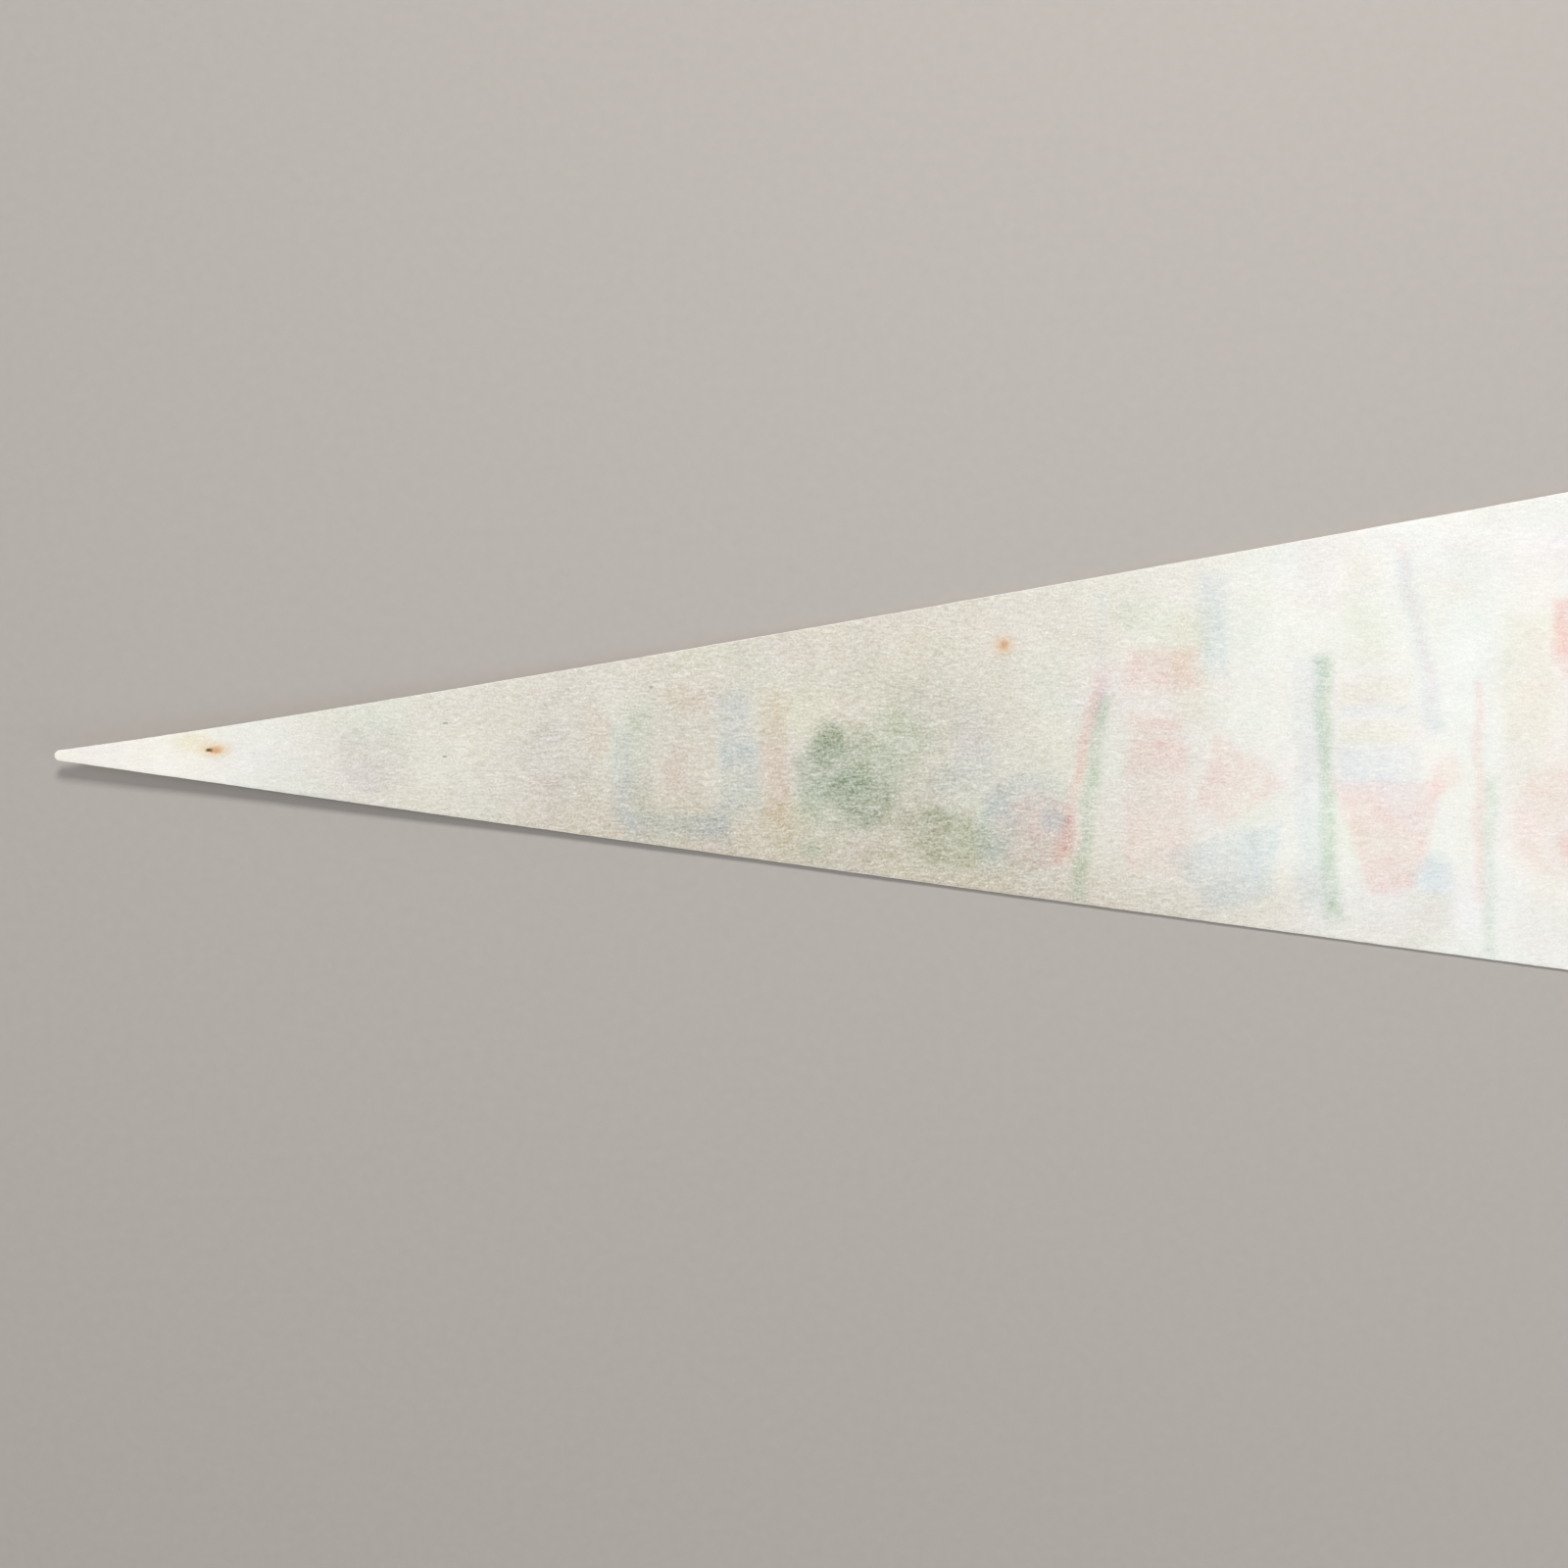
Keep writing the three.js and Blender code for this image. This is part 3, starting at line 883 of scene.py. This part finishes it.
fieldSettings = {
    "spacing": (1.35 * mm, 2.4 * mm),  # back, front
    "fineSpacing": 0.75 * mm,  # along the stitch rows
    "edgeStep": 1.3 * mm,
    "noseSteps": 14,  # round the tip
    "grime": ((34 * mm, 0.035, 12.0), (11 * mm, 0.025, 14.0)),  # patch size, strength, seed
    "darkeningPower": (0.9, 1.08, 1.4),  # for red, green and blue, so that the dirt and the painted shade are brownish
    "dye": (26 * mm, 0.035),  # stray dye in cool and warm patches: size, strength
    "yellowed": (25 * mm, 85 * mm),  # from the tip: yellowed up to here, and not from here on
    "yellow": (0.045, 0.01, -0.025),
    "lowerShadeFrom": (120, 230),  # mm from the tip, where the painted shade along the lower edge begins
    "lowerShadeTo": (390, 540),  # and where it ends
    "lowerShadeReach": 30,  # mm in from the edge
    "lowerShadeDepth": 0.15,
}
# Painted shade, by mm from the tip: how much of the felt's colour is left where a broad shade is
# painted between the tip and the middle.
paintedShadeAlong = {0: 1.0, 45: 0.985, 75: 0.93, 105: 0.84, 150: 0.81, 195: 0.77, 240: 0.76,
             335: 0.77, 385: 0.84, 445: 0.94, 510: 0.98, 700: 0.96}


def fieldOutline():
    end = fieldHigh.x - tipX
    upper = [(p.x, p.y) for p in upperEdge if p.x < end - 0.2 * mm]
    lower = [(p.x, p.y) for p in lowerEdge if p.x < end - 0.2 * mm]
    r, steps = cut["tipRadius"], fieldSettings["noseSteps"]
    turns = np.linspace(upperTurn, 2 * math.pi - lowerTurn, steps + 1)[1:-1]
    nose = [(r + r * math.cos(a), r * math.sin(a)) for a in turns]
    corners = [(end, -halfWidth(fieldHigh.x, -1)), (end, halfWidth(fieldHigh.x, 1))]
    line = corners + upper + nose + lower[::-1]
    line = [(x + tipX, y) for x, y in line]
    return waver(evenly(line, fieldSettings["edgeStep"]), cut["waver"], cut["waverLength"], 4.0)


# Painted shade: the felt is drawn darker along the lower edge, where less light falls.
def lowerEdgePaintedShade(points):
    x, y = (points[:, 0] - tipX) / mm, points[:, 1] / mm
    edge = np.array([(p.x, abs(p.y)) for p in reversed(lowerEdge)]) / mm
    above = y + np.interp(x, edge[:, 0], edge[:, 1])
    along = smoothStep(x, *fieldSettings["lowerShadeFrom"])
    along = along * (1 - smoothStep(x, *fieldSettings["lowerShadeTo"]))
    return along * (1 - smoothStep(above, 0, fieldSettings["lowerShadeReach"]))


# How much dirt, painted shade, yellowing and stray dye leave of each colour.
def feltTone(points):
    along = points[:, 0] - tipX
    # a broad painted shade between the tip and the middle, drawn into the felt's colour
    tone = np.interp(along / mm, list(paintedShadeAlong), list(paintedShadeAlong.values()))
    grime = 1 + sum(strength * softNoise(points, size, seed)
                    for size, strength, seed in fieldSettings["grime"])
    # painted shade: the felt is drawn darker along the lower edge
    lowerShade = 1 - fieldSettings["lowerShadeDepth"] * lowerEdgePaintedShade(points)
    grey = (tone * grime * lowerShade)[:, None] ** np.array(fieldSettings["darkeningPower"])
    yellowed = 1 - smoothStep(along, *fieldSettings["yellowed"])
    grey *= 1 + yellowed[:, None] * np.array(fieldSettings["yellow"])
    size, strength = fieldSettings["dye"]
    for channel in range(3):
        grey[:, channel] *= 1 + strength * softNoise(points, size, 70.0 + channel)
    return grey


fieldLine = fieldOutline()
field = feltPiece(
    "pennant_felt", fieldLine, fieldUnder, fieldTop, fieldSettings["spacing"],
    ("back", "edge", "front"), seed=11,
    dense=(fieldSettings["fineSpacing"], nearRows))
spots = np.array([v.co[:2] for v in field.data.vertices])
# the back's colour: ink soaked through, times dirt, yellowing, stray dye and painted shade
soakedInkDirtAndShade = soakedThrough(spots) * feltTone(spots)
stored = field.data.color_attributes.new("soakedInkDirtAndShade", "FLOAT_COLOR", "POINT")
stored.data.foreach_set("color", np.append(soakedInkDirtAndShade, np.ones((len(spots), 1)), axis=1).ravel())
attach(field, "pennant")
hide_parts("pennant_field")
print("field ready")


headerSettings = {
    "spacing": (1.6 * mm, 1.4 * mm),
    "fineSpacing": 0.8 * mm,
    "edgeStep": 1.2 * mm,
    "channelSides": (5.2 * mm, 5.8 * mm),  # a streamer's channel: full depth up to, none from
    "channelEnds": (-1 * mm, 0),
    "channelSlack": 0.05 * mm,
    "fieldGap": 0.04 * mm,
    "under": 0.10 * mm,  # how far the matted front stays off the floor
}


def headerTop(points):
    roots = overRoots(points, headerSettings["channelSides"], headerSettings["channelEnds"])
    dip = (streamers["thickness"] + headerSettings["channelSlack"]) * roots
    return headerThickness - dip - headerSettings["fieldGap"]


def headerUnder(points):
    under = headerSettings["under"]
    return under + np.clip(matted(points, 21.5), -under, under) + stitchPull(points)


inX, outX = headerLow.x, headerHigh.x
headerLine = evenly([(inX, -halfWidth(inX, -1)), (outX, headerLow.y),
                     (outX, headerHigh.y), (inX, halfWidth(inX, 1))], headerSettings["edgeStep"])
headerLine = waver(headerLine, cut["waver"], cut["waverLength"], 17.0)
header = feltPiece(
    "header_felt", headerLine, headerUnder, headerTop, headerSettings["spacing"],
    ("red",), seed=23, dense=(headerSettings["fineSpacing"], nearRows))
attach(header, "pennant")
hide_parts("header_strip")
print("header ready")


streamerSettings = {
    "spacing": (1.1 * mm, 1.4 * mm),
    "edgeStep": 1.0 * mm,
    "sway": 2.2 * mm,  # how far a free strip wanders sideways
    "swayTurns": 1.3,
    "wave": 1.1 * mm,  # and up and down
    "waveTurns": 1.2,
    "twist": 0.05,
    "cornerSlant": 0.9 * mm,  # the free end is not cut quite square
    "gaps": (0.3 * mm, 0.4 * mm, 0.05 * mm),  # at the sewn end, the free end and each side
    "rim": 0.18 * mm,
    "blendBefore": 3.0 * mm,  # lengths before and after the bending line
    "blendAfter": 4.5 * mm,
}


def makeStreamer(body, place, order):
    bend, slope = place["bend"], math.tan(math.radians(place["splay"]))
    sewnGap, freeGap, sideGap = streamerSettings["gaps"]
    start = headerHigh.x - streamers["sewnLength"] + sewnGap
    end = cadHigh.x - freeGap
    rng = np.random.default_rng(40 + order)
    swayTurn, waveTurn, slant, lifted = rng.uniform(-1, 1, 4)
    tilt = math.cos(math.radians(place["splay"]))
    half = streamers["width"] / 2 / tilt - sideGap

    def share(x):  # 0 up to the bending line, 1 at the free end
        return np.clip((x - bend.x) / (end - bend.x), 0, 1)

    def middle(x):
        t = share(x)
        bow = np.sin(math.pi * t * streamerSettings["swayTurns"])
        sway = streamerSettings["sway"] * swayTurn * bow * t
        return bend.y + (x - bend.x) * slope + sway

    def under(points):
        x, y = points[:, 0], points[:, 1]
        t = share(x)
        high = bend.z - streamers["thickness"] / 2
        sag = high * (1 - smoothStep(x, bend.x, bend.x + streamers["sagLength"]))
        wave = streamerSettings["wave"] * t * (
            0.7 + 0.6 * np.sin(2 * math.pi * (streamerSettings["waveTurns"] * t + waveTurn))
            + 1.2 * (0.6 + 0.4 * lifted) * t ** 3)
        twist = streamerSettings["twist"] * (y - middle(x)) * waveTurn * t
        return sag + np.maximum(wave + twist, 0)

    def top(points):
        inHeader = 1 - smoothStep(points[:, 0], headerHigh.x - 3 * mm, headerHigh.x)
        nap = matted(points, 50.5 + order)
        return under(points) + streamers["thickness"] + nap * (1 - inHeader)

    along = np.linspace(start, end, 60)
    corner = streamerSettings["cornerSlant"] * slant
    left = [(x + corner * share(x), float(middle(x)) + half) for x in along]
    right = [(x - corner * share(x), float(middle(x)) - half) for x in along]
    line = [(min(x, end), y) for x, y in right + left[::-1]]
    line = waver(evenly(line, streamerSettings["edgeStep"]),
                 cut["waver"], cut["waverLength"], 60.0 + order)
    piece = feltPiece(f"{body}_felt", line, under, top, streamerSettings["spacing"],
                      ("red",), seed=70 + order, rim=streamerSettings["rim"])
    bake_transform(piece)
    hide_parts(f"{body}_root", f"{body}_tail")


for order, (body, place) in enumerate(places.items()):
    makeStreamer(body, place, order)
print("streamers ready")


# Each stitch is a real loop of two-ply thread that dives into the felt at both ends.


def stitchTree():
    tree = bpy.data.node_groups.new("stitch_row", "GeometryNodeTree")
    for name, kind in (("Geometry", "Geometry"), ("Count", "Int"), ("Pitch", "Float"),
                       ("Ply radius", "Float"), ("Rise", "Float"), ("Sink", "Float"),
                       ("Place", "Vector"), ("Thread", "Material")):
        tree.interface.new_socket(name, in_out="INPUT", socket_type=f"NodeSocket{kind}")
    tree.interface.new_socket("Geometry", in_out="OUTPUT", socket_type="NodeSocketGeometry")
    given = addNode(tree, "NodeGroupInput").outputs
    half = addNode(tree, "ShaderNodeMath", {"operation": "MULTIPLY"}, {
        0: given["Pitch"], 1: stitch["span"]})
    back = addNode(tree, "ShaderNodeMath", {"operation": "MULTIPLY"}, {0: half.outputs[0], 1: -1.0})
    start = addNode(tree, "ShaderNodeCombineXYZ", inputs={"Y": back.outputs[0], "Z": given["Sink"]})
    end = addNode(tree, "ShaderNodeCombineXYZ", inputs={"Y": half.outputs[0], "Z": given["Sink"]})
    top = addNode(tree, "ShaderNodeCombineXYZ", inputs={"Z": given["Rise"]})
    arch = addNode(tree, "GeometryNodeCurveQuadraticBezier", inputs={
        "Resolution": 8, "Start": start.outputs[0], "Middle": top.outputs[0],
        "End": end.outputs[0]})
    progress = addNode(tree, "GeometryNodeSplineParameter")
    turn = addNode(tree, "ShaderNodeMath", {"operation": "MULTIPLY"}, {
        0: progress.outputs["Factor"], 1: stitch["twists"] * 2 * math.pi})
    twisted = addNode(tree, "GeometryNodeSetCurveTilt", inputs={
        "Curve": arch.outputs[0], "Tilt": turn.outputs[0]})
    ply = addNode(tree, "GeometryNodeCurvePrimitiveCircle", inputs={
        "Resolution": 5, "Radius": given["Ply radius"]})
    plies = addNode(tree, "GeometryNodeJoinGeometry")
    for side in (-0.8, 0.8):  # the plies overlap a little
        reach = addNode(tree, "ShaderNodeMath", {"operation": "MULTIPLY"}, {
            0: given["Ply radius"], 1: side})
        offset = addNode(tree, "ShaderNodeCombineXYZ", inputs={"X": reach.outputs[0]})
        moved = addNode(tree, "GeometryNodeTransform", inputs={
            "Geometry": ply.outputs[0], "Translation": offset.outputs[0]})
        tree.links.new(moved.outputs[0], plies.inputs[0])
    loop = addNode(tree, "GeometryNodeCurveToMesh", inputs={
        "Curve": twisted.outputs[0], "Profile Curve": plies.outputs[0], "Fill Caps": True})
    step = addNode(tree, "ShaderNodeCombineXYZ", inputs={"Y": given["Pitch"]})
    line = addNode(tree, "GeometryNodeMeshLine", inputs={
        "Count": given["Count"], "Start Location": given["Place"], "Offset": step.outputs[0]})
    spin = addNode(tree, "FunctionNodeRandomValue", {"data_type": "FLOAT_VECTOR"}, {
        0: (-0.03, 0.0, -0.07), 1: (0.03, 0.0, 0.07), "Seed": 5})
    grow = addNode(tree, "FunctionNodeRandomValue", {"data_type": "FLOAT_VECTOR"}, {
        0: (0.93, 0.97, 0.85), 1: (1.07, 1.01, 1.15), "Seed": 9})
    rows = addNode(tree, "GeometryNodeInstanceOnPoints", inputs={
        "Points": line.outputs[0], "Instance": loop.outputs[0], "Scale": grow.outputs[0]})
    turned = addNode(tree, "FunctionNodeEulerToRotation", inputs={0: spin.outputs[0]})
    tree.links.new(turned.outputs[0], rows.inputs["Rotation"])
    real = addNode(tree, "GeometryNodeRealizeInstances", inputs={0: rows.outputs[0]})
    smooth = addNode(tree, "GeometryNodeSetShadeSmooth", inputs={0: real.outputs[0]})
    dyed = addNode(tree, "GeometryNodeSetMaterial", inputs={
        "Geometry": smooth.outputs[0], "Material": given["Thread"]})
    addNode(tree, "NodeGroupOutput", inputs={0: dyed.outputs[0]})
    return tree


# Runs a node tree with the inputs given by name, and keeps the result as a plain mesh.
def grown(name, tree, values):
    holder = newObject(name + "_maker", bpy.data.meshes.new(name))
    modifier = holder.modifiers.new("grow", "NODES")
    modifier.node_group = tree
    for item in tree.interface.items_tree:
        if item.in_out == "INPUT" and item.name in values:
            modifier[item.identifier] = values[item.name]
    graph = bpy.context.evaluated_depsgraph_get()
    result = bpy.data.meshes.new_from_object(holder.evaluated_get(graph))
    bpy.data.objects.remove(holder)
    result.name = name
    return newObject(name, result)


def makeStitches():
    tree = stitchTree()
    for side, level, up in (("bobbin", backLevel, 1), ("needle", 0.0, -1)):
        for rowName, row in stitch["rows"].items():
            count = int(2 * rowHalfLength(row) / stitch["pitch"])
            surface = level - up * stitch["sunk"]
            piece = grown(f"{side}_stitches_{rowName}", tree, {
                "Count": count, "Pitch": stitch["pitch"], "Ply radius": stitch["thread"],
                "Rise": up * stitch["rise"][side], "Sink": -up * stitch["dive"],
                "Place": (headerLow.x + row, -(count - 1) / 2 * stitch["pitch"], surface),
                "Thread": finishes["thread"]})
            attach(piece, "pennant")
            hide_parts(f"{side}_thread_{rowName}")


makeStitches()
print("stitches ready")

bpy.context.view_layer.update()
